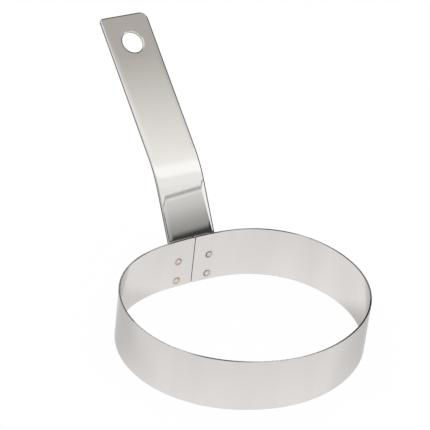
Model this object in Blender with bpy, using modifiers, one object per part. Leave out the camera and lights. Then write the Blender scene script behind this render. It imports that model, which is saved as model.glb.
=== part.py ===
"""Egg ring with a flat bent handle, all in stainless steel.

A strip is rolled into a loop that stands on edge, and its two ends butt at a seam. The
foot of the handle, a second flat strip bent twice, lies over the seam outside the loop.
Four spot welds, two in each end of the band, hold the foot.

Metres, +Z up. The loop stands on Z = 0 and the handle rises towards +Y, so left is -X and
right is +X for someone who looks at the handle from the middle of the loop.
"""

import math

import bmesh
import bpy
from mathutils import Vector

# Band: the rolled strip. The loop is out of round, drawn in at the handle and wide across
# it. Each lobe share is the share of the mean radius that a wave round the loop takes off
# at the handle, for waves that repeat two, three, four and five times.
MEAN_RADIUS = 0.0542
BAND_HEIGHT = 0.0254
BAND_THICKNESS = 0.0008
LOBE_SHARES = (0.076, 0.018, 0.007, 0.005)
FIRST_LOBE = 2
BAND_STEPS = 132
BAND_CORNER_RADIUS = 0.0009
BAND_EDGE_ROUND = 0.00012
BAND_EDGE_STEPS = 1
SEAM_GAP = 0.0003
SEAM_OFFSET = 0.0012

# Handle: the bent strip, from the foot's lower end to the grip's far end. The bend radii
# are those of its front face, which looks towards the loop.
HANDLE_WIDTH = 0.0245
HANDLE_THICKNESS = 0.0018
HANDLE_OFFSET = 0.0002
FOOT_CLEARANCE = 0.0004
RIM_BEND_DROP = 0.0030
RIM_BEND_RADIUS = 0.0055
RIM_BEND_ANGLE = math.radians(32.2)
SHANK_LENGTH = 0.0241
GRIP_BEND_RADIUS = 0.0495
GRIP_BEND_ANGLE = math.radians(18.3)
GRIP_LENGTH = 0.0703
BEND_STEP_ANGLE = math.radians(2.0)
LEFT_CORNER_RADIUS = 0.0016
RIGHT_CORNER_RADIUS = 0.0038
FOOT_CORNER_RADIUS = 0.0012
CORNER_STEPS = 6
HANDLE_EDGE_ROUND = 0.0004
HANDLE_EDGE_STEPS = 2
HANG_HOLE_DIAMETER = 0.0106
HANG_HOLE_OFFSET = 0.0003
HANG_HOLE_MARGIN = 0.0086
HANG_HOLE_STEPS = 48

# Spot welds: nuggets through the band and the foot, in two rows, one each side of the seam.
# The margin is the metal left between a weld's hole and the edge of the foot.
WELD_DIAMETER = 0.0038
WELD_MARGIN = 0.0008
UPPER_ROW_SHARE = 0.66
WELD_DIMPLE = 0.00015
WELD_RIM_SHARE = 0.75
WELD_STEPS = 24

# Room between two solids that touch on the real ring, and how far a cutter overruns.
FIT_GAP = 0.0003
CUT_OVERRUN = 0.0020
MERGE_DISTANCE = 0.00001
EDGE_LIMIT_SHARE = 0.4
SHARP_ANGLE = math.radians(30.0)

STEEL_COLOUR = (0.62, 0.61, 0.59, 1.0)
BAND_ROUGHNESS = 0.28
HANDLE_ROUGHNESS = 0.12
WELD_COLOUR = (0.47, 0.40, 0.33, 1.0)
WELD_ROUGHNESS = 0.35


def clear_scene():
    """Remove every object that the scene starts with."""
    for found in list(bpy.data.objects):
        bpy.data.objects.remove(found, do_unlink=True)


def new_collection(name):
    """Make a collection in the scene."""
    collection = bpy.data.collections.new(name)
    bpy.context.scene.collection.children.link(collection)
    return collection


def steel(name, colour, roughness):
    """Make a metal of one colour and roughness."""
    material = bpy.data.materials.new(name)
    material.use_nodes = True
    shader = material.node_tree.nodes["Principled BSDF"]
    shader.inputs["Base Color"].default_value = colour
    shader.inputs["Metallic"].default_value = 1.0
    shader.inputs["Roughness"].default_value = roughness
    return material


def outer_radius(angle):
    """Radius of the band's outer face at an angle from the handle."""
    lobes = sum(share * math.cos((FIRST_LOBE + k) * angle) for k, share in enumerate(LOBE_SHARES))
    return MEAN_RADIUS * (1.0 - lobes)


def outer_face_y(x):
    """Y of the band's outer face in front of the handle's foot, at a distance x across."""
    angle = math.asin(x / outer_radius(0.0))
    return outer_radius(angle) * math.cos(angle)


def foot_face_y():
    """Y of the foot's front face: clear of the band all the way across the foot."""
    left = HANDLE_OFFSET - HANDLE_WIDTH / 2
    seats = [outer_face_y(left + HANDLE_WIDTH * step / CORNER_STEPS) for step in range(CORNER_STEPS + 1)]
    return max(seats + [outer_face_y(0.0)]) + FIT_GAP


def object_from(bm, name, collection):
    """Turn a bmesh into an object in a collection."""
    mesh = bpy.data.meshes.new(name)
    bm.to_mesh(mesh)
    bm.free()
    thing = bpy.data.objects.new(name, mesh)
    collection.objects.link(thing)
    return thing


def swept_sheet(name, points, sweep, corners, collection):
    """Sweep a line of points into a sheet, and round the corners listed as (place, radius)."""
    bm = bmesh.new()
    line = [bm.verts.new(point) for point in points]
    edges = [bm.edges.new(pair) for pair in zip(line, line[1:])]
    swept = bmesh.ops.extrude_edge_only(bm, edges=edges)["geom"]
    moved = [item for item in swept if isinstance(item, bmesh.types.BMVert)]
    bmesh.ops.translate(bm, verts=moved, vec=sweep)
    for place, radius in corners:
        corner = min(bm.verts, key=lambda vert: (vert.co - place).length)
        bmesh.ops.bevel(bm, geom=[corner], affect="VERTICES", offset=radius, offset_type="OFFSET",
                        segments=CORNER_STEPS, profile=0.5, material=-1)
    bmesh.ops.recalc_face_normals(bm, faces=bm.faces)
    return object_from(bm, name, collection)


def thicken(thing, thickness, place):
    """Give a sheet its thickness, on the side of it that a place lies on."""
    first = thing.data.polygons[0]
    wall = thing.modifiers.new("wall", "SOLIDIFY")
    wall.thickness = thickness
    wall.offset = 1.0 if first.normal.dot(place - first.center) > 0.0 else -1.0
    wall.use_even_offset = True


def break_edges(thing, width, thickness, steps):
    """Round a strip's cut edges, by less than half its thickness."""
    edge = thing.modifiers.new("broken edges", "BEVEL")
    edge.width = min(width, EDGE_LIMIT_SHARE * thickness)
    edge.segments = steps
    edge.limit_method = "ANGLE"
    edge.angle_limit = SHARP_ANGLE
    edge.loop_slide = False


def cut(thing, cutter):
    """Take a cutter out of a solid."""
    hole = thing.modifiers.new(cutter.name, "BOOLEAN")
    hole.operation = "DIFFERENCE"
    hole.solver = "EXACT"
    hole.object = cutter


def round_cutter(name, diameter, length, steps, place, turn, collection):
    """Make a round cutter, its length along its own Z, turned about X."""
    bpy.ops.mesh.primitive_cylinder_add(vertices=steps, radius=diameter / 2, depth=length,
                                        location=place, rotation=(turn, 0.0, 0.0))
    cutter = bpy.context.object
    cutter.name = name
    cutter.display_type = "WIRE"
    cutter.hide_render = True
    for owner in list(cutter.users_collection):
        owner.objects.unlink(cutter)
    collection.objects.link(cutter)
    return cutter


def band_line():
    """Points round the band's outer face at its foot, from one side of the seam to the other."""
    reach = outer_radius(0.0)
    start = math.asin((SEAM_OFFSET + SEAM_GAP / 2) / reach)
    end = math.asin((SEAM_OFFSET - SEAM_GAP / 2) / reach) + math.tau
    points = []
    for step in range(BAND_STEPS + 1):
        angle = start + (end - start) * step / BAND_STEPS
        radius = outer_radius(angle)
        points.append(Vector((radius * math.sin(angle), radius * math.cos(angle), 0.0)))
    return points


def make_band(collection):
    """Roll the strip: a wall on edge, open at the seam, the strip's four corners rounded."""
    points = band_line()
    up = Vector((0.0, 0.0, BAND_HEIGHT))
    corners = [(end + rise, BAND_CORNER_RADIUS) for end in (points[0], points[-1])
               for rise in (Vector(), up)]
    band = swept_sheet("ring_band", points, up, corners, collection)
    thicken(band, BAND_THICKNESS, Vector())
    break_edges(band, BAND_EDGE_ROUND, BAND_THICKNESS, BAND_EDGE_STEPS)
    return band


def handle_line():
    """Places up the middle of the handle's front face, and the grip's lean from upright."""
    foot_top = BAND_HEIGHT - RIM_BEND_DROP
    points = [Vector((HANDLE_OFFSET, foot_face_y(), FOOT_CLEARANCE)),
              Vector((HANDLE_OFFSET, foot_face_y(), foot_top))]
    lean = 0.0
    for radius, turn, straight in ((RIM_BEND_RADIUS, RIM_BEND_ANGLE, SHANK_LENGTH),
                                   (GRIP_BEND_RADIUS, GRIP_BEND_ANGLE, GRIP_LENGTH)):
        centre = points[-1] + radius * Vector((0.0, math.cos(lean), -math.sin(lean)))
        steps = math.ceil(turn / BEND_STEP_ANGLE)
        for step in range(1, steps + 1):
            angle = lean + turn * step / steps
            points.append(centre - radius * Vector((0.0, math.cos(angle), -math.sin(angle))))
        lean += turn
        points.append(points[-1] + straight * Vector((0.0, math.sin(lean), math.cos(lean))))
    return points, lean


def make_handle(collection, cutters):
    """Bend the strip, round its corners, punch the hang hole and break the edges."""
    middles, lean = handle_line()
    across = Vector((HANDLE_WIDTH, 0.0, 0.0))
    points = [middle - across / 2 for middle in middles]
    corners = [(points[0], FOOT_CORNER_RADIUS), (points[0] + across, FOOT_CORNER_RADIUS),
               (points[-1], LEFT_CORNER_RADIUS), (points[-1] + across, RIGHT_CORNER_RADIUS)]
    handle = swept_sheet("handle", points, across, corners, collection)
    behind = middles[0] + Vector((0.0, HANDLE_THICKNESS, 0.0))
    thicken(handle, HANDLE_THICKNESS, behind)

    along = Vector((0.0, math.sin(lean), math.cos(lean)))
    inward = Vector((0.0, math.cos(lean), -math.sin(lean)))
    from_end = HANG_HOLE_MARGIN + HANG_HOLE_DIAMETER / 2
    hole_middle = (middles[-1] + Vector((HANG_HOLE_OFFSET, 0.0, 0.0)) - from_end * along
                   + HANDLE_THICKNESS / 2 * inward)
    punch = round_cutter("hang_hole", HANG_HOLE_DIAMETER, HANDLE_THICKNESS + 2 * CUT_OVERRUN,
                         HANG_HOLE_STEPS, hole_middle, math.pi / 2 - lean, cutters)
    cut(handle, punch)
    break_edges(handle, HANDLE_EDGE_ROUND, HANDLE_THICKNESS, HANDLE_EDGE_STEPS)
    return handle


def weld_places():
    """Name of each spot weld and its place across and up. The seam is halfway between them."""
    reach = WELD_MARGIN + WELD_DIAMETER / 2 + FIT_GAP
    right = HANDLE_OFFSET + HANDLE_WIDTH / 2 - reach
    left = 2 * SEAM_OFFSET - right
    lower = FOOT_CLEARANCE + reach
    highest = BAND_HEIGHT - RIM_BEND_DROP - reach
    upper = lower + UPPER_ROW_SHARE * (highest - lower)
    return [(f"spot_weld_{row}_{side}", x, z) for row, z in (("lower", lower), ("upper", upper))
            for side, x in (("left", left), ("right", right))]


def make_weld(name, x, z, collection):
    """Turn one nugget, from the band's inner face to the back of the foot, dimpled at each end."""
    inner = outer_face_y(x) - BAND_THICKNESS
    outer = foot_face_y() + HANDLE_THICKNESS
    half = (outer - inner) / 2
    radius = WELD_DIAMETER / 2
    rim = WELD_RIM_SHARE * radius
    low = half - WELD_DIMPLE
    profile = [(0.0, low), (rim / 2, low), (rim, half), (radius, low),
               (radius, -low), (rim, -half), (rim / 2, -low), (0.0, -low)]
    bm = bmesh.new()
    line = [bm.verts.new((out, 0.0, up)) for out, up in profile]
    for pair in zip(line, line[1:]):
        bm.edges.new(pair)
    weld = object_from(bm, name, collection)
    weld.location = (x, (inner + outer) / 2, z)
    weld.rotation_euler = (math.pi / 2, 0.0, 0.0)
    turn = weld.modifiers.new("turned", "SCREW")
    turn.axis = "Z"
    turn.steps = WELD_STEPS
    turn.render_steps = WELD_STEPS
    turn.use_merge_vertices = True
    turn.merge_threshold = MERGE_DISTANCE
    return weld


def stand_on_origin(parts, carrier):
    """Move the empty that carries the parts until their box stands centred on the origin."""
    bpy.context.view_layer.update()
    graph = bpy.context.evaluated_depsgraph_get()
    corners = [part.matrix_world @ Vector(corner) for part in parts
               for corner in part.evaluated_get(graph).bound_box]
    low, high = (Vector([pick(corner[axis] for corner in corners) for axis in range(3)])
                 for pick in (min, max))
    carrier.location = (-(low.x + high.x) / 2, -(low.y + high.y) / 2, -low.z)


def main():
    clear_scene()
    collection = new_collection("egg_ring")
    cutters = new_collection("cutters")
    carrier = bpy.data.objects.new("egg_ring_origin", None)
    collection.objects.link(carrier)

    band = make_band(collection)
    band.data.materials.append(steel("rolled steel strip", STEEL_COLOUR, BAND_ROUGHNESS))
    handle = make_handle(collection, cutters)
    handle.data.materials.append(steel("polished steel strip", STEEL_COLOUR, HANDLE_ROUGHNESS))
    weld_metal = steel("heat tinted weld", WELD_COLOUR, WELD_ROUGHNESS)

    parts = [band, handle]
    hole_length = BAND_THICKNESS + FIT_GAP + HANDLE_THICKNESS + 2 * CUT_OVERRUN
    for name, x, z in weld_places():
        weld = make_weld(name, x, z, collection)
        weld.data.materials.append(weld_metal)
        parts.append(weld)
        hole = round_cutter(f"{name}_hole", WELD_DIAMETER + 2 * FIT_GAP, hole_length, WELD_STEPS,
                            weld.location, math.pi / 2, cutters)
        cut(band, hole)
        cut(handle, hole)
    for part in parts:
        part.data.shade_smooth()
        part.data.set_sharp_from_angle(angle=SHARP_ANGLE)
    for thing in parts + list(cutters.objects):
        thing.parent = carrier
    stand_on_origin(parts, carrier)


main()
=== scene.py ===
# Egg ring: a rolled band of stainless steel, a bent handle over its seam, and four spot welds.
import math

import bmesh
import bpy
from mathutils import Matrix, Quaternion, Vector
from mathutils.bvhtree import BVHTree


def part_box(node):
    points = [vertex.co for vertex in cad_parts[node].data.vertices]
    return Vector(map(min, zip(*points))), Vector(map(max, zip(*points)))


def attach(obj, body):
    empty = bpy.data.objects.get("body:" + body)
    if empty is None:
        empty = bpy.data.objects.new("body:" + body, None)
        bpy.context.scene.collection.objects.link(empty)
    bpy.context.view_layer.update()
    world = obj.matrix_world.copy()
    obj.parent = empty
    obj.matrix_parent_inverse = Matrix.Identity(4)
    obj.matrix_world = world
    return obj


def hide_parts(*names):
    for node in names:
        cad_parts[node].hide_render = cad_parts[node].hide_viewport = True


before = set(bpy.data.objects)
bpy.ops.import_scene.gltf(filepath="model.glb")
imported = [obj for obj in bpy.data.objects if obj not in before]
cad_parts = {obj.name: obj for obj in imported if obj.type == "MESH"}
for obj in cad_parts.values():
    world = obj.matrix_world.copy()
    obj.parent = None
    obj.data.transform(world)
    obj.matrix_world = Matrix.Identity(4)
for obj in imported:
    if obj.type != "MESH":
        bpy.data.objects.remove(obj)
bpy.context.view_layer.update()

# The camera
# It stands in front of the ring and to its left, looks down on it, and leans a little to one
# side, as it did for the photo.
CAMERA_PLACE = Vector((-0.41003, -0.59986, 0.49613))
CAMERA_AIM = Vector((0.00381, -0.00061, 0.04268))
CAMERA_LEAN = math.radians(6.562)
LENS_LENGTH = 158.27
SENSOR_WIDTH = 36.0

lens = bpy.data.cameras.new("camera")
lens.lens = LENS_LENGTH
lens.sensor_width = SENSOR_WIDTH
camera = bpy.data.objects.new("camera", lens)
camera.location = CAMERA_PLACE
line_of_sight = (CAMERA_AIM - CAMERA_PLACE).to_track_quat("-Z", "Y")
camera.rotation_euler = (line_of_sight @ Quaternion((0.0, 0.0, 1.0), CAMERA_LEAN)).to_euler()
bpy.context.scene.collection.objects.link(camera)
bpy.context.scene.camera = camera
bpy.context.scene.view_settings.view_transform = "Standard"

# Ring band
# One strip of cold rolled stainless steel, sheared an inch wide and rolled into a loop that is
# a little out of round. Its two ends butt behind the handle's foot, and only the spot welds
# through the foot hold them there.
MEAN_RADIUS = 0.0542
BAND_HEIGHT = 0.0254
BAND_THICKNESS = 0.0008
# How far the loop is out of round: the shares of 2, 3, 4 and 5 waves round it.
LOBE_SHARES = (0.076, 0.018, 0.007, 0.005)
FIRST_LOBE = 2
SEAM_GAP = 0.00010
SEAM_OFFSET = 0.0012
# The rolls can't bend the last little piece of each end.
STRAIGHT_END_ANGLE = math.radians(1.5)
BAND_STEPS = 720
BAND_CORNER_RADIUS = 0.0009
BAND_EDGE_ROUND = 0.00018
CORNER_STEPS = 8
EDGE_STEPS = 3
EDGE_ANGLE = math.radians(30.0)
FLAT_FACE_WEIGHT = 50
# The band's and the handle's second material is that of their cut edges; on the handle it is
# painted shade, dark enough to outline it.
EDGE_SLOT = 1

BAND_BRIGHT = "#E3DFDC"
BAND_DULL = "#DEDAD7"
BAND_ROUGHNESS = (0.15, 0.19)
# A scale says how often a pattern repeats in a metre: one number, or one each for X, Y and Z.
BAND_LINE_SCALE = (15.0, 15.0, 2500.0)
BAND_CLOUD_SCALE = (70.0, 70.0, 12.0)
# The polished and rolled lines are mere changes of gloss, with next to no depth.
LINE_HEIGHT = 0.00000006
LINE_DETAIL = 4.0
LINE_CONTRAST = 0.65
LINE_RANGE = (0.3, 0.7)
CLOUD_DETAIL = 2.0
CLOUD_RANGE = (0.35, 0.65)
# Steel's mirror image is a little less than white at a grazing angle.
GRAZING_TINT = (0.88, 0.88, 0.88, 1.0)

# Heat tints the sheet straw round each weld's middle: by its full share as far as HEAT_NEAR, and
# fading, with a ragged border, to HEAT_FAR.
STRAW_TINT = "#D3C7BA"
HEAT_NEAR, HEAT_FAR = 0.0021, 0.0032
HEAT_SHARE = 0.55
RAGGED_WIDTH = 0.0007
RAGGED_SCALE = 900.0
WELD_NODES = sorted(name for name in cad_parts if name.startswith("spot_weld"))
# The welds' axes run along Y, so the distance from one hardly counts Y.
WELD_AXIS_SQUEEZE = Vector((1.0, 0.1, 1.0))

# The rim's cut edge: how much of it is torn, at places in degrees round the loop from the handle.
# The stretches are laid out to give the rim's line its light and dark places, so the torn share is
# partly a painted reflection and the clean cut share partly painted shade.
CUT_AND_SHADED_TINT = "#7C7A77"
TORN_AND_LIT_TINT = "#F0EEEB"
TORN_AND_LIT_PLACES = ((0, 0.0), (15, 0.0), (20, 0.5), (31, 0.6), (42, 0.0), (50, 0.05), (58, 0.9),
               (82, 0.35), (116, 0.5), (121, 0.0), (142, 0.15), (155, 0.3), (186, 1.0),
               (206, 1.0), (222, 0.1), (232, 0.2), (240, 1.0), (262, 0.9), (278, 0.5),
               (318, 0.75), (324, 0.35), (332, 0.8), (343, 0.8), (346, 0.0))
CUT_ROUGHNESS, TORN_ROUGHNESS = 0.22, 0.75
GRAIN_SCALE = 500.0
GRAIN_SHARE = 0.12
GRAIN_HEIGHT = 0.000001


def linear(hex_colour):
    """Linear colour, with its alpha, of an sRGB hex value."""
    parts = [int(hex_colour[start:start + 2], 16) / 255 for start in (1, 3, 5)]
    return [part / 12.92 if part <= 0.04045 else ((part + 0.055) / 1.055) ** 2.4
            for part in parts] + [1.0]


def grey(tone):
    """A grey of a linear tone."""
    return (tone, tone, tone, 1.0)


def add_node(tree, kind, inputs=None, stops=None, **settings):
    """Add a node, with its settings, its ramp's stops, and what sets or feeds each input."""
    node = tree.nodes.new("ShaderNode" + kind)
    for name, value in settings.items():
        setattr(node, name, value)
    for name, value in (inputs or {}).items():
        if isinstance(value, bpy.types.NodeSocket):
            tree.links.new(value, node.inputs[name])
        else:
            node.inputs[name].default_value = value
    if stops:
        ramp = node.color_ramp
        while len(ramp.elements) < len(stops):
            ramp.elements.new(1.0)
        for element, (place, colour) in zip(ramp.elements, stops):
            element.position = place
            element.color = colour
    return node


def empty_material(name):
    """Make a material with an empty node tree."""
    material = bpy.data.materials.new(name)
    material.use_nodes = True
    material.node_tree.nodes.clear()
    return material


def distance_from_welds(tree, place):
    """Add the nodes that give how far a point lies from the nearest spot weld's axis."""
    place = add_node(tree, "VectorMath", {0: place, 1: WELD_AXIS_SQUEEZE},
                     operation="MULTIPLY").outputs[0]
    nearest = None
    for name in WELD_NODES:
        low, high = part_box(name)
        middle = (low + high) / 2 * WELD_AXIS_SQUEEZE
        away = add_node(tree, "VectorMath", {0: place, 1: middle}, operation="DISTANCE").outputs[1]
        nearest = away if nearest is None else add_node(
            tree, "Math", {0: nearest, 1: away}, operation="MINIMUM").outputs[0]
    return nearest


def strip_steel(name, bright, dull, roughness, line_scale, line_height, cloud_scale,
                heat_tinted=False):
    """Make stainless steel with lines from rolling or polishing, and two tones in soft clouds."""
    material = empty_material(name)
    tree = material.node_tree
    place = add_node(tree, "TexCoord").outputs["Object"]
    along = add_node(tree, "Mapping", {"Vector": place, "Scale": line_scale}).outputs[0]
    lines = add_node(tree, "TexNoise", {"Vector": along, "Scale": 1.0, "Detail": LINE_DETAIL,
                                        "Roughness": LINE_CONTRAST}).outputs[0]
    spread = add_node(tree, "Mapping", {"Vector": place, "Scale": cloud_scale}).outputs[0]
    clouds = add_node(tree, "TexNoise", {"Vector": spread, "Scale": 1.0,
                                         "Detail": CLOUD_DETAIL}).outputs[0]
    tone = add_node(tree, "ValToRGB", {"Fac": clouds},
                    stops=list(zip(CLOUD_RANGE, (linear(dull), linear(bright))))).outputs[0]
    if heat_tinted:
        away = distance_from_welds(tree, place)
        ragged = add_node(tree, "TexNoise", {"Vector": place, "Scale": RAGGED_SCALE}).outputs[0]
        away = add_node(tree, "Math", {0: ragged, 1: RAGGED_WIDTH, 2: away},
                        operation="MULTIPLY_ADD").outputs[0]
        heat = add_node(tree, "MapRange", {"Value": away, "From Min": HEAT_NEAR, "From Max": HEAT_FAR,
                                           "To Min": HEAT_SHARE, "To Max": 0.0}).outputs[0]
        tone = add_node(tree, "Mix", {0: heat, 6: tone, 7: linear(STRAW_TINT)},
                        data_type="RGBA").outputs[2]
    rough = add_node(tree, "MapRange", {"Value": lines, "From Min": LINE_RANGE[0],
                                        "From Max": LINE_RANGE[1], "To Min": roughness[0],
                                        "To Max": roughness[1]}).outputs[0]
    bump = add_node(tree, "Bump", {"Height": lines, "Strength": 1.0,
                                   "Distance": line_height}).outputs[0]
    shader = add_node(tree, "BsdfPrincipled", {"Base Color": tone, "Metallic": 1.0,
                                               "Roughness": rough, "Normal": bump,
                                               "Specular Tint": GRAZING_TINT}).outputs[0]
    add_node(tree, "OutputMaterial", {"Surface": shader})
    return material


def piece_from(bm, name, *materials):
    """Turn a bmesh into a piece with its materials."""
    mesh = bpy.data.meshes.new(name)
    bm.to_mesh(mesh)
    bm.free()
    mesh.shade_smooth()
    piece = bpy.data.objects.new(name, mesh)
    bpy.context.scene.collection.objects.link(piece)
    for material in materials:
        mesh.materials.append(material)
    return piece


def apply_modifiers(piece):
    """Turn a piece's modifiers into plain mesh."""
    graph = bpy.context.evaluated_depsgraph_get()
    mesh = bpy.data.meshes.new_from_object(piece.evaluated_get(graph))
    piece.modifiers.clear()
    piece.data = mesh


def make_solid(piece, thickness, edge_round):
    """Give a sheet its thickness behind its faces, and break its cut edges."""
    wall = piece.modifiers.new("thickness", "SOLIDIFY")
    wall.thickness = thickness
    wall.offset = -1.0
    wall.use_even_offset = True
    wall.material_offset_rim = EDGE_SLOT
    edges = piece.modifiers.new("broken edges", "BEVEL")
    edges.width = edge_round
    edges.segments = EDGE_STEPS
    edges.limit_method = "ANGLE"
    edges.angle_limit = EDGE_ANGLE
    edges.loop_slide = False
    edges.material = EDGE_SLOT
    apply_modifiers(piece)


def shade_by_area(piece):
    """Let the big faces set the shading where they meet the narrow ones of an edge."""
    shade = piece.modifiers.new("flat faces stay flat", "WEIGHTED_NORMAL")
    shade.weight = FLAT_FACE_WEIGHT
    apply_modifiers(piece)


def outer_radius(angle):
    """Radius of the band's outer face at an angle from the handle."""
    lobes = sum(share * math.cos((FIRST_LOBE + k) * angle) for k, share in enumerate(LOBE_SHARES))
    return MEAN_RADIUS * (1.0 - lobes)


# Cold rolled stainless strip, left as it came from the mill: a soft satin grey, with fine
# rolling lines that run round the loop. Real ones are some 0.05 mm apart, too fine to show,
# so they are drawn 0.4 mm apart.
band_steel = strip_steel("cold rolled stainless strip", BAND_BRIGHT, BAND_DULL, BAND_ROUGHNESS,
                         BAND_LINE_SCALE, LINE_HEIGHT, BAND_CLOUD_SCALE, heat_tinted=True)

# Its sheared edge: shiny and dark where the shear has cut it clean, matt and pale where it has
# torn it, so that the rim is a dark line in some places and almost none in others. These dark
# and pale stretches are partly painted shade and painted reflection along the rim.
ring_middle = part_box("ring_band")[0].y + outer_radius(math.pi)
band_edge_steel = empty_material("sheared edge of the strip")
tree = band_edge_steel.node_tree
coordinates = add_node(tree, "TexCoord").outputs["Object"]
from_middle = add_node(tree, "VectorMath", {0: coordinates, 1: (0.0, -ring_middle, 0.0)},
                       operation="ADD").outputs[0]
around = add_node(tree, "TexGradient", {"Vector": from_middle}, gradient_type="RADIAL").outputs["Fac"]
# The gradient starts at -X and turns the other way than the places.
# Painted shade and reflection: the torn shares round the loop set where the rim is dark and where
# pale.
torn_and_lit_stops = sorted(((0.75 - degrees / 360.0) % 1.0, grey(share)) for degrees, share in TORN_AND_LIT_PLACES)
torn_and_lit_share = add_node(tree, "ValToRGB", {"Fac": around}, stops=torn_and_lit_stops).outputs[0]
grain = add_node(tree, "TexNoise", {"Vector": coordinates, "Scale": GRAIN_SCALE}).outputs[0]
torn_and_lit_share = add_node(tree, "Math", {0: grain, 1: GRAIN_SHARE, 2: torn_and_lit_share},
                operation="MULTIPLY_ADD").outputs[0]
torn_and_lit_share = add_node(tree, "Math", {0: torn_and_lit_share, 1: GRAIN_SHARE / 2}, operation="SUBTRACT",
                use_clamp=True).outputs[0]
tone = add_node(tree, "Mix", {0: torn_and_lit_share, 6: linear(CUT_AND_SHADED_TINT), 7: linear(TORN_AND_LIT_TINT)},
                data_type="RGBA").outputs[2]
rough = add_node(tree, "MapRange", {"Value": torn_and_lit_share, "To Min": CUT_ROUGHNESS,
                                    "To Max": TORN_ROUGHNESS}).outputs[0]
rubbed = add_node(tree, "Bump", {"Height": grain, "Distance": GRAIN_HEIGHT}).outputs[0]
shader = add_node(tree, "BsdfPrincipled", {"Base Color": tone, "Metallic": 1.0, "Roughness": rough,
                                           "Normal": rubbed}).outputs[0]
add_node(tree, "OutputMaterial", {"Surface": shader})

# The loop is spun round as a circle, pushed in and out to its true plan, and drawn up to a wall.
seam_start = math.asin((SEAM_OFFSET + SEAM_GAP / 2) / outer_radius(0.0))
seam_end = math.asin((SEAM_OFFSET - SEAM_GAP / 2) / outer_radius(0.0)) + math.tau
bm = bmesh.new()
leading = [bm.verts.new(Matrix.Rotation(-seam_start, 3, "Z") @ Vector((0.0, MEAN_RADIUS, 0.0)))]
for turn, steps in ((STRAIGHT_END_ANGLE, 1),
                    (seam_end - seam_start - 2 * STRAIGHT_END_ANGLE, BAND_STEPS),
                    (STRAIGHT_END_ANGLE, 1)):
    leading = bmesh.ops.spin(bm, geom=leading, cent=(0.0, 0.0, 0.0), axis=(0.0, 0.0, -1.0),
                             angle=turn, steps=steps, use_duplicate=False)["geom_last"]
    leading = [item for item in leading if isinstance(item, bmesh.types.BMVert)]
for vert in bm.verts:
    vert.co *= outer_radius(math.atan2(vert.co.x, vert.co.y)) / MEAN_RADIUS
drawn = bmesh.ops.extrude_edge_only(bm, edges=bm.edges[:])["geom"]
bmesh.ops.translate(bm, vec=(0.0, 0.0, BAND_HEIGHT),
                    verts=[item for item in drawn if isinstance(item, bmesh.types.BMVert)])
corners = [vert for vert in bm.verts if len(vert.link_edges) == 2]
bmesh.ops.bevel(bm, geom=corners, affect="VERTICES", offset=BAND_CORNER_RADIUS,
                offset_type="OFFSET", segments=CORNER_STEPS, profile=0.5, material=-1)
bmesh.ops.recalc_face_normals(bm, faces=bm.faces)
bm.faces.ensure_lookup_table()
if bm.faces[0].normal.dot(bm.faces[0].calc_center_median()) < 0.0:
    bmesh.ops.reverse_faces(bm, faces=bm.faces)
bmesh.ops.translate(bm, verts=bm.verts, vec=(0.0, ring_middle, 0.0))
band = piece_from(bm, "band_strip", band_steel, band_edge_steel)
make_solid(band, BAND_THICKNESS, BAND_EDGE_ROUND)
shade_by_area(band)
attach(band, "root")
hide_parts("ring_band")

# Handle
# A flat stainless strip, sheared to length, with a hang hole punched near its end, then bent
# away from the ring just under its rim and again at the start of the grip. It is polished
# brighter than the band, along its length, and the shear has drawn its long edges down a little.
HANDLE_THICKNESS = 0.0018
RIM_BEND_DROP = 0.0030
RIM_BEND_RADIUS = 0.0055
RIM_BEND_ANGLE = math.radians(32.2)
SHANK_LENGTH = 0.0241
GRIP_BEND_RADIUS = 0.0495
GRIP_BEND_ANGLE = math.radians(18.3)
GRIP_LENGTH = 0.0703
BEND_STEPS = 24
LEFT_CORNER_RADIUS = 0.0016
RIGHT_CORNER_RADIUS = 0.0038
FOOT_CORNER_RADIUS = 0.0012
HANDLE_EDGE_ROUND = 0.00028
DRAWN_EDGE_WIDTH = 0.0026
DRAWN_EDGE_DEPTH = 0.00009
DRAWN_EDGE_STEPS = 4
# Painted shade: a strip this wide at the end of the face is coloured as the dark cut edge.
END_PAINTED_SHADE_WIDTH = 0.00060

# The hang hole, and the edge that the punch has rolled down round it, which is wider towards the
# lower left. The field is the square of the blank that the hole is made in.
HANG_HOLE_RADIUS = 0.0053
HANG_HOLE_MARGIN = 0.0086
HANG_HOLE_OFFSET = 0.0003
HANG_HOLE_STEPS = 80
HOLE_FIELD = 0.0180
HOLE_ROLL_WIDTH = 0.00060
HOLE_ROLL_SHIFT = Vector((-0.00020, -0.00013, 0.0))
HOLE_ROLL_DEPTH = 0.00024
HOLE_ROLL_SHARES = (1.0, 0.85, 0.0)

# How deep the blade and the punch have rubbed the cut edges smooth, a band also painted bright as
# a painted highlight, and how far a face has to turn to the left, to the end or to the front to
# count as facing that way.
HOLE_BURNISHED_HIGHLIGHT_DEPTH = 0.00070
EDGE_BURNISHED_HIGHLIGHT_DEPTH = 0.00048
FACING_LEFT = 0.2
FACING_END = 0.3
FACING_FRONT = 0.2
CUT_TOLERANCE = 0.000001

HANDLE_BRIGHT = "#D3D2D0"
HANDLE_DULL = "#D0CFCC"
HANDLE_ROUGHNESS = (0.015, 0.03)
HANDLE_LINE_SCALE = (2500.0, 20.0, 20.0)
HANDLE_CLOUD_SCALE = (40.0, 25.0, 25.0)
# Painted shade: the cut edges' colours are far darker than steel, to draw the handle's outline.
HANDLE_EDGE_SHADE_BRIGHT = "#6C6A67"
HANDLE_EDGE_SHADE_DULL = "#5E5C59"
HANDLE_EDGE_ROUGHNESS = (0.30, 0.40)
HANDLE_EDGE_MARK_SCALE = (300.0, 1200.0, 1200.0)
HANDLE_EDGE_MARK_HEIGHT = 0.0000005
HANDLE_EDGE_CLOUD_SCALE = (90.0, 90.0, 90.0)
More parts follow.
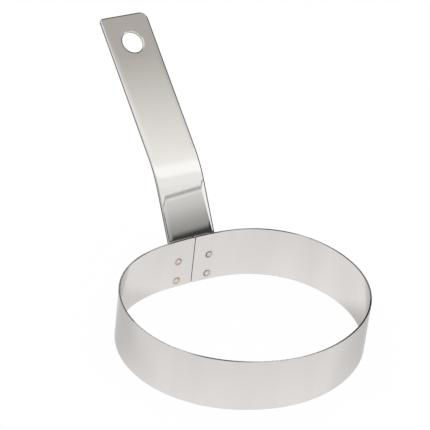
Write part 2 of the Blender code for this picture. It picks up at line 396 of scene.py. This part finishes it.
# Painted highlight: paler than the polished face, on the hole's wall and the left edge only.
BURNISHED_HIGHLIGHT_BRIGHT = "#EFEDEB"
BURNISHED_HIGHLIGHT_DULL = "#E6E4E1"
BURNISHED_ROUGHNESS = (0.12, 0.18)
BURNISHED_SCALE = (60.0, 60.0, 60.0)
BURNISHED_MARK_HEIGHT = 0.00000002

# Polished stainless strip: a bright grey that mirrors almost sharply, with fine polishing lines
# along the handle, drawn 0.4 mm apart where the real ones are too fine to show.
handle_steel = strip_steel("polished stainless strip", HANDLE_BRIGHT, HANDLE_DULL, HANDLE_ROUGHNESS,
                           HANDLE_LINE_SCALE, LINE_HEIGHT, HANDLE_CLOUD_SCALE, heat_tinted=True)
# Its cut edges, as the shear left them: duller, with marks straight across the edge, and darker
# than steel is, a painted shade that draws a dark outline round the handle.
shaded_handle_edge_steel = strip_steel("sheared edge of the handle, painted dark", HANDLE_EDGE_SHADE_BRIGHT, HANDLE_EDGE_SHADE_DULL,
                                HANDLE_EDGE_ROUGHNESS, HANDLE_EDGE_MARK_SCALE,
                                HANDLE_EDGE_MARK_HEIGHT, HANDLE_EDGE_CLOUD_SCALE)
# The front part of the left edge and of the hang hole's wall, which the blade and the punch have
# rubbed smooth before the steel tore. It is paler than the polished face, and the right edge has
# none: a painted highlight.
burnished_highlight_steel = strip_steel("burnished half of a cut, painted bright", BURNISHED_HIGHLIGHT_BRIGHT, BURNISHED_HIGHLIGHT_DULL,
                              BURNISHED_ROUGHNESS, BURNISHED_SCALE, BURNISHED_MARK_HEIGHT,
                              BURNISHED_SCALE)
FACE_SLOT, BURNISHED_HIGHLIGHT_SLOT = 0, 2

handle_low, handle_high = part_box("handle")
width = handle_high.x - handle_low.x
middle = handle_low.x + width / 2
# The blank's stretches from its foot up: the length of each, and the angle that it is bent by.
stretches = ((BAND_HEIGHT - RIM_BEND_DROP - handle_low.z, 0.0),
             (RIM_BEND_RADIUS * RIM_BEND_ANGLE, RIM_BEND_ANGLE), (SHANK_LENGTH, 0.0),
             (GRIP_BEND_RADIUS * GRIP_BEND_ANGLE, GRIP_BEND_ANGLE), (GRIP_LENGTH, 0.0))
length = sum(stretch for stretch, turn in stretches)


def bent(flat):
    """Place on the bent handle of a point of the flat blank: across, along and out of its face."""
    place = Vector((0.0, handle_low.y, handle_low.z))
    lean = 0.0
    left = flat.y
    for stretch, turn in stretches:
        step = min(left, stretch)
        if turn:
            behind = Vector((0.0, math.cos(lean), -math.sin(lean)))
            centre = place + stretch / turn * behind
            lean += turn * step / stretch
            place = centre - stretch / turn * Vector((0.0, math.cos(lean), -math.sin(lean)))
        else:
            place = place + step * Vector((0.0, math.sin(lean), math.cos(lean)))
        left -= step
    return place + Vector((flat.x, -math.cos(lean) * flat.z, math.sin(lean) * flat.z))


def cut_through(bm, place, normal):
    """Cut a whole bmesh along a plane."""
    bmesh.ops.bisect_plane(bm, geom=bm.verts[:] + bm.edges[:] + bm.faces[:], dist=CUT_TOLERANCE,
                           plane_co=place, plane_no=normal)


def roll_width_towards(away):
    """Width of the rolled edge round the hang hole in one direction from its middle."""
    return HOLE_ROLL_WIDTH + HOLE_ROLL_SHIFT.dot(away)


# The flat blank: a sheet with round corners.
bm = bmesh.new()
bmesh.ops.create_grid(bm, x_segments=1, y_segments=1, size=0.5,
                      matrix=Matrix.Diagonal((width, length, 1.0, 1.0)))
bmesh.ops.translate(bm, verts=bm.verts, vec=(middle, length / 2, 0.0))
for corner, radius in ((Vector((handle_low.x, 0.0, 0.0)), FOOT_CORNER_RADIUS),
                       (Vector((handle_high.x, 0.0, 0.0)), FOOT_CORNER_RADIUS),
                       (Vector((handle_low.x, length, 0.0)), LEFT_CORNER_RADIUS),
                       (Vector((handle_high.x, length, 0.0)), RIGHT_CORNER_RADIUS)):
    nearest = min(bm.verts, key=lambda vert: (vert.co - corner).length)
    bmesh.ops.bevel(bm, geom=[nearest], affect="VERTICES", offset=radius, offset_type="OFFSET",
                    segments=CORNER_STEPS, profile=0.5, material=-1)

# The hang hole: a square field is cut free, and its outline is drawn in to the rolled edge's
# rings and to the hole.
hole = Vector((middle + HANG_HOLE_OFFSET, length - HANG_HOLE_MARGIN - HANG_HOLE_RADIUS, 0.0))
for direction in (Vector((0.0, -1.0, 0.0)), Vector((0.0, 1.0, 0.0)), Vector((-1.0, 0.0, 0.0)),
                  Vector((1.0, 0.0, 0.0))):
    field = min(bm.faces, key=lambda face: (face.calc_center_median() - hole).length)
    bmesh.ops.bisect_plane(bm, geom=[field] + list(field.edges) + list(field.verts),
                           plane_co=hole + direction * HOLE_FIELD / 2, plane_no=direction)
field = min(bm.faces, key=lambda face: (face.calc_center_median() - hole).length)
outline = list(field.edges)
bmesh.ops.delete(bm, geom=[field], context="FACES_ONLY")
split = bmesh.ops.subdivide_edges(bm, edges=outline, cuts=HANG_HOLE_STEPS // 4 - 1)["geom_split"]
outline = [item for item in split if isinstance(item, bmesh.types.BMEdge)]
for share in HOLE_ROLL_SHARES:
    drawn = bmesh.ops.extrude_edge_only(bm, edges=outline)["geom"]
    outline = [item for item in drawn if isinstance(item, bmesh.types.BMEdge)]
    for vert in (item for item in drawn if isinstance(item, bmesh.types.BMVert)):
        away = (vert.co - hole).normalized()
        vert.co = hole + (HANG_HOLE_RADIUS + share * roll_width_towards(away)) * away
bmesh.ops.recalc_face_normals(bm, faces=bm.faces)
bm.faces.ensure_lookup_table()
if bm.faces[0].normal.z < 0.0:
    bmesh.ops.reverse_faces(bm, faces=bm.faces)
handle = piece_from(bm, "handle_strip", handle_steel, shaded_handle_edge_steel, burnished_highlight_steel)
make_solid(handle, HANDLE_THICKNESS, HANDLE_EDGE_ROUND)

# The cut edges are parted into their burnished front, painted bright as a painted highlight, and
# their torn back, on the flat solid.
bm = bmesh.new()
bm.from_mesh(handle.data)
for depth in (HOLE_BURNISHED_HIGHLIGHT_DEPTH, EDGE_BURNISHED_HIGHLIGHT_DEPTH):
    cut_through(bm, (0.0, 0.0, -depth), (0.0, 0.0, 1.0))
for face in (face for face in bm.faces if face.material_index == EDGE_SLOT):
    place = face.calc_center_median()
    in_hole = (place - hole).xy.length < HOLE_FIELD / 2
    on_left = face.normal.x < -FACING_LEFT and face.normal.y < FACING_END
    if in_hole and place.z > -HOLE_BURNISHED_HIGHLIGHT_DEPTH:
        face.material_index = BURNISHED_HIGHLIGHT_SLOT
    elif on_left and place.z > -EDGE_BURNISHED_HIGHLIGHT_DEPTH:
        face.material_index = FACE_SLOT if face.normal.z > FACING_FRONT else BURNISHED_HIGHLIGHT_SLOT

# Creases across the blank let it bend, and creases along it let its long edges drop.
flat_half = width / 2 - DRAWN_EDGE_WIDTH
across, along = Vector((1.0, 0.0, 0.0)), Vector((0.0, 1.0, 0.0))
run = 0.0
for stretch, turn in stretches:
    if turn:
        for step in range(BEND_STEPS + 1):
            cut_through(bm, (run + stretch * step / BEND_STEPS) * along, along)
    run += stretch
for side in (-1, 1):
    for step in range(DRAWN_EDGE_STEPS):
        reach = flat_half + DRAWN_EDGE_WIDTH * step / DRAWN_EDGE_STEPS
        cut_through(bm, (middle + side * reach) * across, across)
cut_through(bm, (length - END_PAINTED_SHADE_WIDTH) * along, along)

# The last strip on the right, which turns down the most, and a strip at the end take the dark
# cut edge's material: painted shade that widens the handle's dark outline there.
for face in bm.faces:
    place = face.calc_center_median()
    if (place.x > handle_high.x - DRAWN_EDGE_WIDTH / DRAWN_EDGE_STEPS
            or place.y > length - END_PAINTED_SHADE_WIDTH):
        face.material_index = EDGE_SLOT
for vert in bm.verts:
    if vert.co.z > -HANDLE_THICKNESS / 2:
        over = max(0.0, abs(vert.co.x - middle) - flat_half) / DRAWN_EDGE_WIDTH
        away = Vector((vert.co.x - hole.x, vert.co.y - hole.y, 0.0))
        roll_width = roll_width_towards(away.normalized())
        rolled = 1.0 - (away.length - HANG_HOLE_RADIUS) / roll_width
        vert.co.z -= DRAWN_EDGE_DEPTH * over ** 2 + HOLE_ROLL_DEPTH * max(0.0, rolled)
    vert.co = bent(vert.co)
bm.to_mesh(handle.data)
bm.free()
handle.data.shade_smooth()
shade_by_area(handle)
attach(handle, "root")
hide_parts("handle")

# Spot welds
# Four nuggets fuse the foot to the two ends of the band. The welding tips leave a low round
# collar on both faces, dished in the middle, and the heat tints it straw and brown.
WELD_RADIUS = 0.0019
# Heights of the collar over the sheet, at shares of its radius.
COLLAR_PROFILE = ((0.0, 0.00002), (0.45, 0.00002), (0.62, 0.00009), (0.76, 0.00015),
                  (0.90, 0.00006), (1.0, -0.00010))
COLLAR_STEPS = 24
COLLAR_LEVELS = 2
# The two collars of a weld are spun this far from its middle, and then set on their sheets.
SPUN_APART = 1.0
MERGE_DISTANCE = 0.00001
RAY_START = 0.010

BROWN_TINT = "#69574B"
WELD_CENTRE_TINT = "#E4DDD6"
# Tints at shares of the tint's reach from the weld's middle.
TINT_REACH = 0.0030
TINT_RINGS = ((0.40, WELD_CENTRE_TINT), (0.58, STRAW_TINT), (0.70, BROWN_TINT),
              (0.78, BROWN_TINT), (0.88, STRAW_TINT))
MOTTLE_SCALE = 700.0
MOTTLE_DETAIL = 3.0
MOTTLE_WIDTH = 0.0011
COOL_FROM, COOL_TO = 0.0078, 0.0098
COOL_SHARE = 0.75
WELD_ROUGHNESS = (0.28, 0.48)
PIT_DEPTH = 0.00002


def wall_at(tree, x, z, start_y, towards):
    """Y of the first wall that a line along Y meets."""
    return tree.ray_cast(Vector((x, start_y, z)), Vector((0.0, towards, 0.0)))[0].y


# Spot weld on stainless steel: a dull grey-gold face with a brown oxide ring on its collar. The
# ring is darkest towards the seam, where the heat had the least metal to go to.
weld_metal = empty_material("heat tinted weld")
tree = weld_metal.node_tree
coordinates = add_node(tree, "TexCoord").outputs["Object"]
away = distance_from_welds(tree, coordinates)
mottle = add_node(tree, "TexNoise", {"Vector": coordinates, "Scale": MOTTLE_SCALE,
                                     "Detail": MOTTLE_DETAIL}).outputs[0]
away = add_node(tree, "Math", {0: mottle, 1: MOTTLE_WIDTH, 2: away},
                operation="MULTIPLY_ADD").outputs[0]
share = add_node(tree, "Math", {0: away, 1: TINT_REACH}, operation="DIVIDE").outputs[0]
tint = add_node(tree, "ValToRGB", {"Fac": share},
                stops=[(place, linear(colour)) for place, colour in TINT_RINGS]).outputs[0]
sideways = add_node(tree, "SeparateXYZ", {0: coordinates}).outputs[0]
from_seam = add_node(tree, "Math", {0: sideways, 1: SEAM_OFFSET}, operation="SUBTRACT").outputs[0]
from_seam = add_node(tree, "Math", {0: from_seam}, operation="ABSOLUTE").outputs[0]
cooler = add_node(tree, "MapRange", {"Value": from_seam, "From Min": COOL_FROM, "From Max": COOL_TO,
                                     "To Max": COOL_SHARE}).outputs[0]
tint = add_node(tree, "Mix", {0: cooler, 6: tint, 7: linear(STRAW_TINT)},
                data_type="RGBA").outputs[2]
dull = add_node(tree, "MapRange", {"Value": mottle, "To Min": WELD_ROUGHNESS[0],
                                   "To Max": WELD_ROUGHNESS[1]}).outputs[0]
pitted = add_node(tree, "Bump", {"Height": mottle, "Distance": PIT_DEPTH}).outputs[0]
shader = add_node(tree, "BsdfPrincipled", {"Base Color": tint, "Metallic": 1.0, "Roughness": dull,
                                           "Normal": pitted}).outputs[0]
add_node(tree, "OutputMaterial", {"Surface": shader})

band_walls = BVHTree.FromObject(band, bpy.context.evaluated_depsgraph_get())
foot_walls = BVHTree.FromObject(handle, bpy.context.evaluated_depsgraph_get())
for node_name in WELD_NODES:
    low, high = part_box(node_name)
    centre = (low + high) / 2
    bm = bmesh.new()
    line = [bm.verts.new((share * WELD_RADIUS, -SPUN_APART - height, 0.0))
            for share, height in COLLAR_PROFILE]
    line += [bm.verts.new((share * WELD_RADIUS, SPUN_APART + height, 0.0))
             for share, height in reversed(COLLAR_PROFILE)]
    edges = [bm.edges.new(pair) for pair in zip(line, line[1:])]
    bmesh.ops.spin(bm, geom=line + edges, cent=(0.0, 0.0, 0.0), axis=(0.0, 1.0, 0.0),
                   angle=math.tau, steps=COLLAR_STEPS, use_merge=True, use_duplicate=False)
    bmesh.ops.remove_doubles(bm, verts=bm.verts, dist=MERGE_DISTANCE)
    for vert in bm.verts:
        x, z = centre.x + vert.co.x, centre.z + vert.co.z
        if vert.co.y < 0.0:
            wall = wall_at(band_walls, x, z, low.y - RAY_START, 1.0)
            vert.co = (x, wall + SPUN_APART + vert.co.y, z)
        else:
            wall = wall_at(foot_walls, x, z, high.y + RAY_START, -1.0)
            vert.co = (x, wall - SPUN_APART + vert.co.y, z)
    bmesh.ops.recalc_face_normals(bm, faces=bm.faces)
    weld = piece_from(bm, node_name.replace("spot_weld", "weld_collar"), weld_metal)
    rounded = weld.modifiers.new("rounded collar", "SUBSURF")
    rounded.levels = COLLAR_LEVELS
    rounded.render_levels = COLLAR_LEVELS
    apply_modifiers(weld)
    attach(weld, "root")
    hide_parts(node_name)

# Studio
# White surroundings, a round soft box before the handle, graded and bright cards under it, dark
# cards to its left, to its right and behind the ring, and a low dark skirt round everything.
# Steel shows nothing but these, so they are where its greys come from.
FLOOR_RADIUS = 4.0
FLOOR_GLOW_SHARE = 0.97
FLOOR_WHITE = 0.95
ROUND_STEPS = 96
# What the steel mirrors of the floor: its tone falls from white at the band's wall to the far
# tone, and rises again farther out.
FLOOR_FAR_TONE = 0.86
FAR_DISTANCE = 0.045
FLOOR_WIDE_GAIN = 0.20
WIDE_FROM, WIDE_TO = 0.055, 0.100
# Soft grey patches on the floor, which only the steel mirrors: painted shade that stands in for
# the floor's shading at the foot of the band. Each has its middle, its turn, its half width and
# half length, and how much darker it is. Their axes are turned by FLOOR_TURN, and the inner part
# of each, out to PATCH_CORE, is evenly dark.
FLOOR_TURN = math.radians(34.6)
FLOOR_SHADE_PATCHES = (((-0.070, -0.007, 0.0), math.radians(38.0), (0.030, 0.056, 1.0), 0.25),
                 ((0.062, 0.010, 0.0), math.radians(-38.0), (0.036, 0.062, 1.0), 0.24),
                 ((-0.048, 0.017, 0.0), 0.0, (0.014, 0.022, 1.0), 0.16),
                 ((0.046, 0.020, 0.0), 0.0, (0.014, 0.022, 1.0), 0.20))
PATCH_CORE = 0.2

# The soft box: its place, the straight lower edge of its round cloth, and the cloth's tones and
# warmth from below to above.
BOX_AZIMUTH = math.radians(38.0)
BOX_ELEVATION = math.radians(44.0)
BOX_ROLL = math.radians(14.5)
BOX_DISTANCE = 0.90
BOX_RADIUS = 0.45
BOX_LOWER_EDGE = -0.275
BOX_FADE = Vector((-0.55, 1.0, 0.0))
BOX_STRENGTH = 1.50
BOX_TONES = ((-0.285, 1.19, 0.0), (-0.270, 1.25, 0.0), (-0.134, 1.28, 0.0), (-0.105, 1.36, 0.0),
             (-0.075, 1.49, 0.0), (0.050, 1.49, 0.0), (0.086, 1.43, 0.1), (0.123, 1.35, 0.2),
             (0.161, 1.31, 0.3), (0.315, 1.245, 0.45), (0.428, 0.665, 0.9), (0.460, 0.635, 1.0))
WARMEST = (1.0, 0.945, 0.89)

# The cards that hang from the soft box's lower edge: a graded one with its tones from its top
# down, a dark one to its left, and a bright one with a slanting top before it.
CARD_LEFT = 0.150
CARD_RIGHT = -0.345
CARD_DEPTH = 0.60
CARD_FADE = Vector((0.0, -1.0, 0.0))
CARD_STRENGTH = 1.20
CARD_TONES = ((0.0, 0.62), (0.0010, 0.46), (0.0026, 0.46), (0.0038, 1.20), (0.0050, 1.20),
              (0.0064, 0.94), (0.012, 0.89), (0.018, 0.80), (0.027, 0.61), (0.036, 0.48),
              (0.0418, 0.40), (0.0427, 0.05), (0.077, 0.10), (0.30, 0.05))
CARD_TINT = (1.0, 1.0, 0.98)
DARK_WIDTH = 0.60
DARK_TONE = 0.25
BRIGHT_LEFT = 0.0
BRIGHT_TOP = 0.0036
BRIGHT_DEPTH = 0.30
BRIGHT_DROP = Vector((-0.050, -0.035, 0.0))
BRIGHT_TONE = 1.35
BRIGHT_FORWARD = 0.002

# Cards that stand alone: azimuth, elevation, width, height, distance and tone.
SIDE_CARDS = (("left_card", -38.0, 20.0, 1.05, 0.50, 0.95, 0.16),
              ("left_high_card", -20.0, 62.0, 0.50, 0.50, 1.00, 1.40),
              ("right_card", 86.0, 24.0, 1.00, 1.00, 1.00, 0.12),
              ("back_card", 148.0, 42.0, 1.60, 1.30, 1.05, 0.12))
SKIRT_RADIUS = 1.30
SKIRT_HEIGHT = 0.20
SKIRT_TONE = 0.10


def tinted(tone, tint, share=1.0):
    """A grey of a linear tone, turned towards a tint by a share."""
    return [tone * (1.0 - share * (1.0 - part)) for part in tint] + [1.0]


def glowing(name, stops, strength, fade=CARD_FADE, reach=(0.0, 1.0)):
    """Make a card's glow, with tones along one direction on the card, between two places."""
    material = empty_material(name)
    tree = material.node_tree
    place = add_node(tree, "TexCoord").outputs["Object"]
    along = add_node(tree, "VectorMath", {0: place, 1: fade}, operation="DOT_PRODUCT").outputs[1]
    share = add_node(tree, "MapRange", {"Value": along, "From Min": reach[0],
                                        "From Max": reach[1]}).outputs[0]
    tone = add_node(tree, "ValToRGB", {"Fac": share}, stops=stops).outputs[0]
    glow = add_node(tree, "Emission", {"Color": tone, "Strength": strength}).outputs[0]
    add_node(tree, "OutputMaterial", {"Surface": glow})
    return material


def plain_glow(name, tone):
    """Make the glow of a card that has one tone."""
    return glowing(name, [(0.0, grey(1.0))], tone)


def show_in_steel_alone(card):
    """Keep a card out of everything but the reflections."""
    card.visible_camera = False
    card.visible_diffuse = False
    card.visible_shadow = False
    card.visible_transmission = False


def stand_card(card, azimuth, elevation, distance, roll=0.0):
    """Stand a card before the ring: azimuth from -Y towards +X, elevation up from the floor."""
    direction = Vector((math.sin(azimuth) * math.cos(elevation),
                        -math.cos(azimuth) * math.cos(elevation), math.sin(elevation)))
    card.location = distance * direction
    facing = (-direction).to_track_quat("Z", "Y") @ Quaternion((0.0, 0.0, 1.0), roll)
    card.rotation_euler = facing.to_euler()
    show_in_steel_alone(card)


def flat_card(width, height, middle=(0.0, 0.0, 0.0)):
    """Start a rectangular card as a bmesh."""
    bm = bmesh.new()
    bmesh.ops.create_grid(bm, x_segments=1, y_segments=1, size=0.5,
                          matrix=Matrix.Diagonal((width, height, 1.0, 1.0)))
    bmesh.ops.translate(bm, verts=bm.verts, vec=middle)
    return bm


# White floor: it glows white to the camera, keeps the ring's faint shadow, and shows the steel
# its softer tones.
floor_paint = empty_material("white floor")
tree = floor_paint.node_tree
place = add_node(tree, "TexCoord").outputs["Object"]
ring_place = add_node(tree, "VectorMath", {0: place, 1: (0.0, -ring_middle, 0.0)},
                      operation="ADD").outputs[0]
off_middle = add_node(tree, "VectorMath", {0: ring_place}, operation="LENGTH").outputs[1]
off_wall = add_node(tree, "Math", {0: off_middle, 1: MEAN_RADIUS}, operation="SUBTRACT").outputs[0]
off_wall = add_node(tree, "Math", {0: off_wall}, operation="ABSOLUTE").outputs[0]
near_tone = add_node(tree, "MapRange", {"Value": off_wall, "From Max": FAR_DISTANCE,
                                        "To Min": 1.0, "To Max": FLOOR_FAR_TONE}).outputs[0]
wide_gain = add_node(tree, "MapRange", {"Value": off_wall, "From Min": WIDE_FROM,
                                        "From Max": WIDE_TO, "To Max": FLOOR_WIDE_GAIN}).outputs[0]
mirror_tone = add_node(tree, "Math", {0: near_tone, 1: wide_gain}, operation="ADD").outputs[0]
turned = add_node(tree, "VectorRotate", {"Vector": ring_place, "Angle": FLOOR_TURN}).outputs[0]
# Painted shade: each patch darkens the floor that the steel mirrors.
for patch_middle, turn, size, drop in FLOOR_SHADE_PATCHES:
    patch = add_node(tree, "Mapping", {"Vector": turned, "Location": patch_middle, "Scale": size,
                                       "Rotation": (0.0, 0.0, turn)}, vector_type="TEXTURE").outputs[0]
    off_patch = add_node(tree, "VectorMath", {0: patch}, operation="LENGTH").outputs[1]
    shade = add_node(tree, "MapRange", {"Value": off_patch, "From Min": PATCH_CORE,
                                        "To Min": drop, "To Max": 0.0},
                     interpolation_type="SMOOTHSTEP").outputs[0]
    mirror_tone = add_node(tree, "Math", {0: mirror_tone, 1: shade}, operation="SUBTRACT").outputs[0]
rays = add_node(tree, "LightPath")
mirrored = add_node(tree, "Math", {0: rays.outputs["Is Glossy Ray"],
                                   1: rays.outputs["Is Transmission Ray"]},
                    operation="MAXIMUM").outputs[0]
glow_tone = add_node(tree, "Mix", {0: mirrored, 2: 1.0, 3: mirror_tone}).outputs[0]
seen = add_node(tree, "Math", {0: mirrored, 1: rays.outputs["Is Camera Ray"]},
                operation="MAXIMUM").outputs[0]
glow_share = add_node(tree, "Math", {0: seen, 1: FLOOR_GLOW_SHARE}, operation="MULTIPLY").outputs[0]
glow = add_node(tree, "Emission", {"Strength": glow_tone}).outputs[0]
matt = add_node(tree, "BsdfDiffuse", {"Color": grey(FLOOR_WHITE)}).outputs[0]
mixed = add_node(tree, "MixShader", {0: glow_share, 1: matt, 2: glow}).outputs[0]
add_node(tree, "OutputMaterial", {"Surface": mixed})
bm = bmesh.new()
bmesh.ops.create_circle(bm, cap_ends=True, segments=ROUND_STEPS, radius=FLOOR_RADIUS)
floor = piece_from(bm, "floor", floor_paint)

bm = bmesh.new()
bmesh.ops.create_circle(bm, cap_ends=True, segments=ROUND_STEPS, radius=BOX_RADIUS)
bmesh.ops.bisect_plane(bm, geom=bm.verts[:] + bm.edges[:] + bm.faces[:], clear_outer=True,
                       plane_co=(0.0, BOX_LOWER_EDGE, 0.0), plane_no=(0.0, -1.0, 0.0))
box_reach = (BOX_TONES[0][0], BOX_TONES[-1][0])
box_stops = [((place - box_reach[0]) / (box_reach[1] - box_reach[0]),
              tinted(tone / BOX_STRENGTH, WARMEST, share)) for place, tone, share in BOX_TONES]
soft_box = piece_from(bm, "soft_box", glowing("soft box cloth", box_stops, BOX_STRENGTH, BOX_FADE,
                                              box_reach))
stand_card(soft_box, BOX_AZIMUTH, BOX_ELEVATION, BOX_DISTANCE, BOX_ROLL)

card_reach = (-BOX_LOWER_EDGE, -BOX_LOWER_EDGE + CARD_DEPTH)
card_stops = [(depth / CARD_DEPTH, tinted(tone / CARD_STRENGTH, CARD_TINT))
              for depth, tone in CARD_TONES]
bm = flat_card(CARD_LEFT - CARD_RIGHT, CARD_DEPTH,
               ((CARD_LEFT + CARD_RIGHT) / 2, BOX_LOWER_EDGE - CARD_DEPTH / 2, 0.0))
graded_card = piece_from(bm, "graded_card", glowing("graded card", card_stops, CARD_STRENGTH,
                                                    reach=card_reach))
stand_card(graded_card, BOX_AZIMUTH, BOX_ELEVATION, BOX_DISTANCE, BOX_ROLL)

bm = flat_card(DARK_WIDTH, CARD_DEPTH,
               (CARD_LEFT + DARK_WIDTH / 2, BOX_LOWER_EDGE - CARD_DEPTH / 2, 0.0))
dark_card = piece_from(bm, "dark_card", plain_glow("dark card", DARK_TONE))
stand_card(dark_card, BOX_AZIMUTH, BOX_ELEVATION, BOX_DISTANCE, BOX_ROLL)

bright_corner = Vector((BRIGHT_LEFT, BOX_LOWER_EDGE - BRIGHT_TOP, 0.0))
bm = flat_card(BRIGHT_LEFT - CARD_RIGHT, BRIGHT_DEPTH,
               ((BRIGHT_LEFT + CARD_RIGHT) / 2, BOX_LOWER_EDGE - BRIGHT_TOP - BRIGHT_DEPTH / 2, 0.0))
bmesh.ops.bisect_plane(bm, geom=bm.verts[:] + bm.edges[:] + bm.faces[:], clear_outer=True,
                       plane_co=bright_corner, plane_no=(-BRIGHT_DROP.y, BRIGHT_DROP.x, 0.0))
bright_card = piece_from(bm, "bright_card", plain_glow("bright card", BRIGHT_TONE))
stand_card(bright_card, BOX_AZIMUTH, BOX_ELEVATION, BOX_DISTANCE - BRIGHT_FORWARD, BOX_ROLL)

for name, azimuth, elevation, wide, high, distance, tone in SIDE_CARDS:
    side_card = piece_from(flat_card(wide, high), name, plain_glow(name.replace("_", " "), tone))
    stand_card(side_card, math.radians(azimuth), math.radians(elevation), distance)

bm = bmesh.new()
bmesh.ops.create_cone(bm, cap_ends=False, segments=ROUND_STEPS, radius1=SKIRT_RADIUS,
                      radius2=SKIRT_RADIUS, depth=SKIRT_HEIGHT)
bmesh.ops.translate(bm, verts=bm.verts, vec=(0.0, 0.0, SKIRT_HEIGHT / 2))
skirt = piece_from(bm, "dark_skirt", plain_glow("dark skirt", SKIRT_TONE))
show_in_steel_alone(skirt)

world = bpy.data.worlds.new("white studio")
world.use_nodes = True
world.node_tree.nodes.clear()
sky = add_node(world.node_tree, "Background", {"Color": grey(1.0), "Strength": 1.0}).outputs[0]
add_node(world.node_tree, "OutputWorld", {"Surface": sky})
bpy.context.scene.world = world
